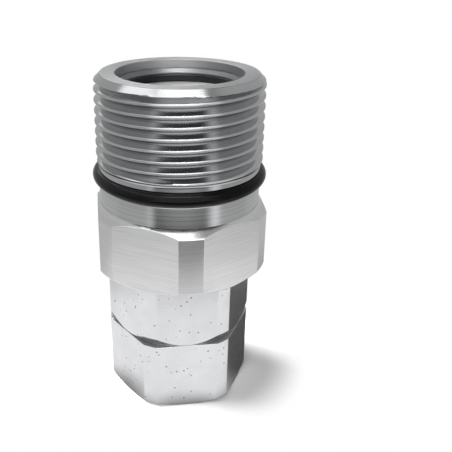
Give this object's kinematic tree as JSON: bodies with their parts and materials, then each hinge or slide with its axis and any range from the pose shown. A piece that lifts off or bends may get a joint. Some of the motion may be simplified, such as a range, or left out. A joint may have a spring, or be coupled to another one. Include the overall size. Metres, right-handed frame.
{
  "type": "screw-to-connect hydraulic coupler half",
  "caption": "Screw-to-connect hydraulic coupler half: threaded nose with a spring-loaded poppet valve, spanner hexagons and a female threaded port.",
  "frame": {"origin": "centre of the port face, on the part's own axis", "axes": "+Z along the axis, from the port towards the mouth; a corner of the body hexagon points along -Y"},
  "size_m": [0.0504, 0.0524, 0.098],
  "materials": {
    "body_steel": "turned and milled steel, clear zinc plated",
    "adapter_steel": "drawn hexagonal steel bar, clear zinc plated, small pits",
    "retainer_steel": "fine turned steel, clear zinc plated",
    "valve_steel": "turned steel, satin",
    "spring_steel": "drawn spring wire and strip",
    "fastener_steel": "zinc plated fastener steel",
    "bush_bronze": "turned bronze",
    "nitrile_rubber": "moulded nitrile rubber, lightly greased",
    "seal_rubber": "moulded seal rubber",
    "backup_plastic": "turned white sealing plastic"
  },
  "bodies": {
    "housing": {"body": "body_steel", "adapter": "adapter_steel", "dust_o_ring": "nitrile_rubber", "seal_retainer_ring": "retainer_steel", "nose_seal": "seal_rubber", "nose_seal_backup_ring": "backup_plastic", "guide_spider": "valve_steel", "guide_bush": "bush_bronze", "guide_retaining_ring": "spring_steel", "adapter_o_ring": "nitrile_rubber", "adapter_backup_ring": "backup_plastic", "valve_spring": "spring_steel"},
    "valve": {"poppet": "valve_steel", "poppet_seal": "seal_rubber", "seal_clamp_washer": "valve_steel", "nut_lock_washer": "spring_steel", "clamp_nut": "fastener_steel", "stem_stop_ring": "spring_steel"}
  },
  "joints": [
    {"name": "poppet_slide", "type": "slide", "parent": "housing", "child": "valve", "axis": [0, 0, -1], "range_m": [0, 0.009], "stiffness_N_per_m": 3000, "springref_m": -0.006, "deforming": ["valve_spring"]}
  ]
}
